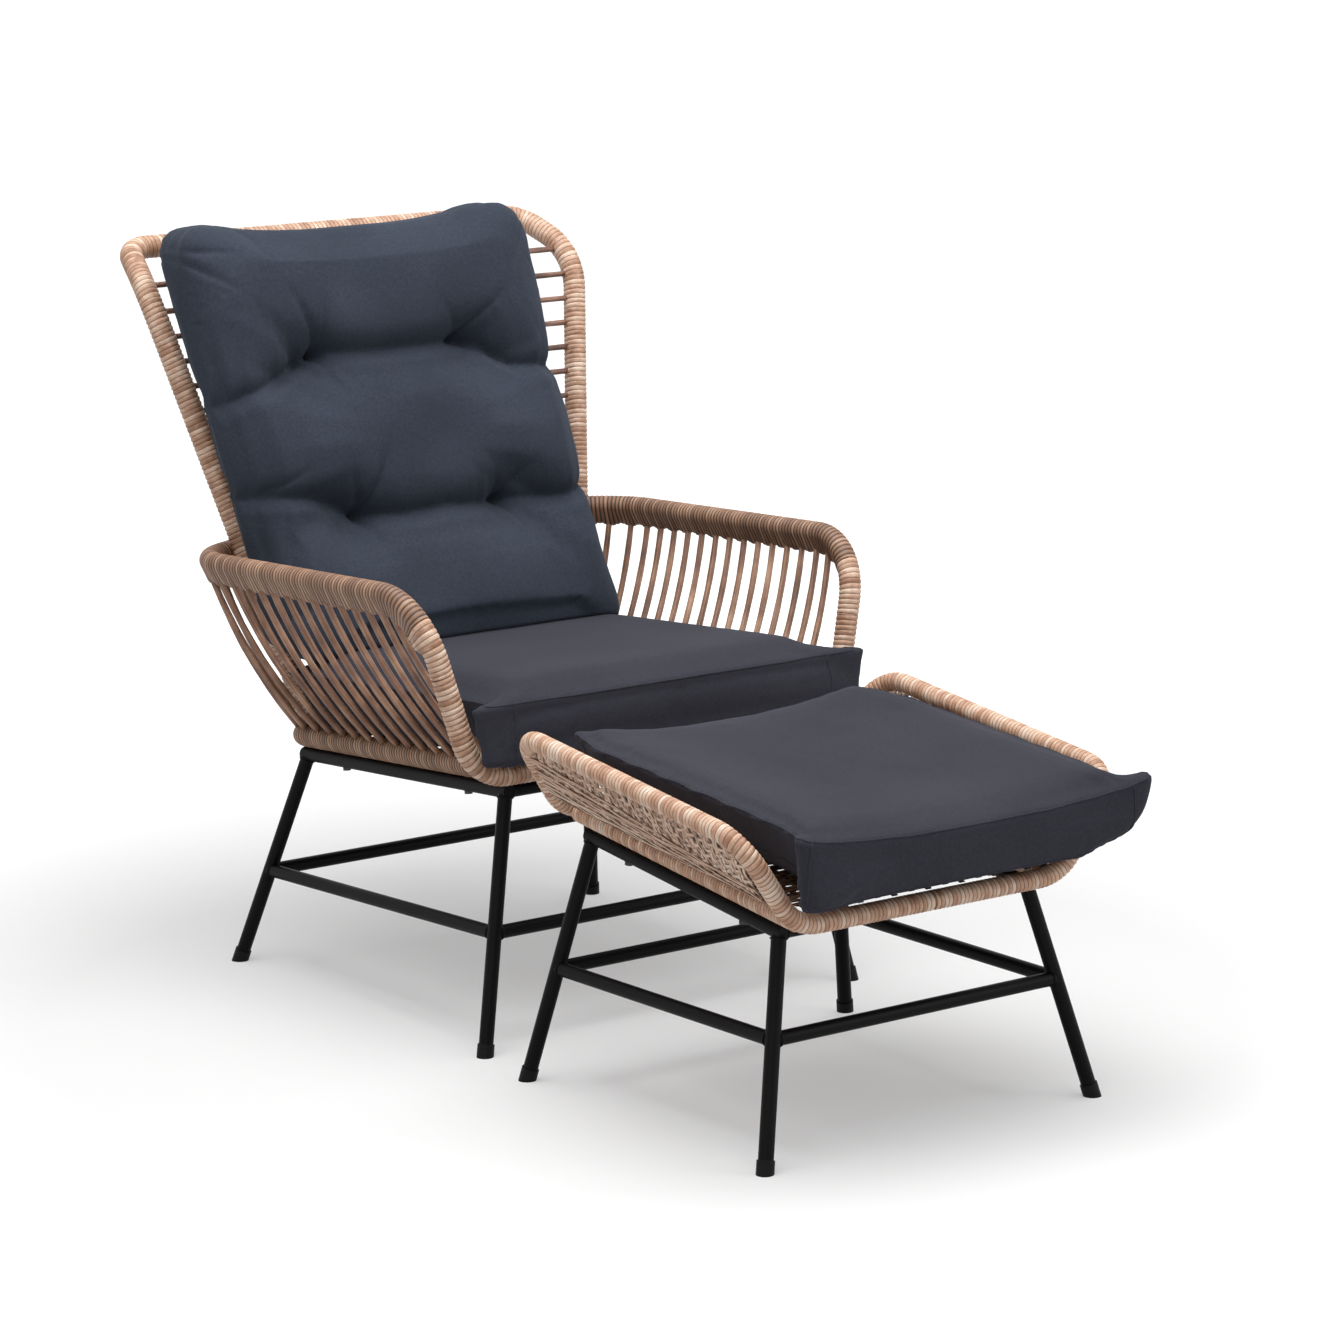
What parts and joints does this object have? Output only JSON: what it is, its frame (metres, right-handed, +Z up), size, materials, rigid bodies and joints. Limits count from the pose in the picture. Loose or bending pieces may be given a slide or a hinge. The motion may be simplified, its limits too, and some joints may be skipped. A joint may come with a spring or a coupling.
{
  "type": "lounge chair with footstool",
  "caption": "Outdoor lounge chair with a high hooped back, open spindle arms and loose cushions on a splayed steel base, with a matching cushioned footstool.",
  "frame": {"origin": "on the floor, under the middle of the whole set's bounding box", "axes": "+Z up, -Y forward from the chair to the footstool, +X to the right as the picture shows the set from its front left"},
  "size_m": [0.7396, 1.4989, 1.0186],
  "materials": {
    "black_powder_coat": "satin black powder coat",
    "core_steel": "satin black powder coat, hidden by the winding",
    "wicker_strand": "satin wicker strand, natural tan with a streaked grain",
    "wicker_rod": "satin wicker strand, honey brown",
    "seat_fabric": "fine plain weave, charcoal",
    "back_fabric": "fine plain weave, blue charcoal",
    "cap_plastic": "moulded black",
    "screw_steel": "zinc plated"
  },
  "bodies": {
    "chair": {"chair_leg_front_left": "black_powder_coat", "chair_leg_front_right": "black_powder_coat", "chair_leg_rear_left": "black_powder_coat", "chair_leg_rear_right": "black_powder_coat", "chair_stretcher_front": "black_powder_coat", "chair_stretcher_rear": "black_powder_coat", "chair_stretcher_left": "black_powder_coat", "chair_stretcher_right": "black_powder_coat", "chair_top_rail_front": "black_powder_coat", "chair_top_rail_rear": "black_powder_coat", "chair_top_rail_left": "black_powder_coat", "chair_top_rail_right": "black_powder_coat", "chair_foot_caps": "cap_plastic", "chair_basket_screws": "screw_steel", "front_rail_tube": "core_steel", "arm_tube_left": "core_steel", "arm_tube_right": "core_steel", "arm_tube_rear": "core_steel", "seat_tube_left": "core_steel", "seat_tube_right": "core_steel", "seat_tube_rear": "core_steel", "hoop_tube_left": "core_steel", "hoop_tube_right": "core_steel", "hoop_tube_top": "core_steel", "arm_loop_winding": "wicker_strand", "seat_ring_winding": "wicker_strand", "hoop_winding": "wicker_strand", "spindles_left": "wicker_rod", "spindles_right": "wicker_rod", "spindles_rear": "wicker_rod", "back_rungs": "wicker_rod", "seat_web": "wicker_strand"},
    "seat_cushion": {"seat_cushion": "seat_fabric"},
    "back_cushion": {"back_cushion": "back_fabric"},
    "footstool": {"stool_leg_front_left": "black_powder_coat", "stool_leg_front_right": "black_powder_coat", "stool_leg_rear_left": "black_powder_coat", "stool_leg_rear_right": "black_powder_coat", "stool_stretcher_front": "black_powder_coat", "stool_stretcher_rear": "black_powder_coat", "stool_stretcher_left": "black_powder_coat", "stool_stretcher_right": "black_powder_coat", "stool_top_rail_front": "black_powder_coat", "stool_top_rail_rear": "black_powder_coat", "stool_top_rail_left": "black_powder_coat", "stool_top_rail_right": "black_powder_coat", "stool_foot_caps": "cap_plastic", "stool_basket_screws": "screw_steel", "stool_front_tube": "core_steel", "stool_rear_tube": "core_steel", "stool_wing_tube_left": "core_steel", "stool_wing_tube_right": "core_steel", "stool_side_tube_left": "core_steel", "stool_side_tube_right": "core_steel", "stool_loop_winding": "wicker_strand", "stool_side_windings": "wicker_strand", "stool_deck": "wicker_strand", "stool_wing_weave": "wicker_strand"},
    "stool_cushion": {"stool_cushion": "seat_fabric"}
  },
  "joints": [
    {"name": "seat_cushion_lift", "type": "slide", "parent": "chair", "child": "seat_cushion", "axis": [0, 0, 1], "range_m": [0, 0.4]},
    {"name": "back_cushion_lift", "type": "slide", "parent": "seat_cushion", "child": "back_cushion", "axis": [0, 0, 1], "range_m": [0, 0.4]},
    {"name": "footstool_slide", "type": "slide", "parent": "chair", "child": "footstool", "axis": [0, 1, 0], "range_m": [-0.4, 0.08]},
    {"name": "stool_cushion_lift", "type": "slide", "parent": "footstool", "child": "stool_cushion", "axis": [0, 0, 1], "range_m": [0, 0.3]}
  ]
}
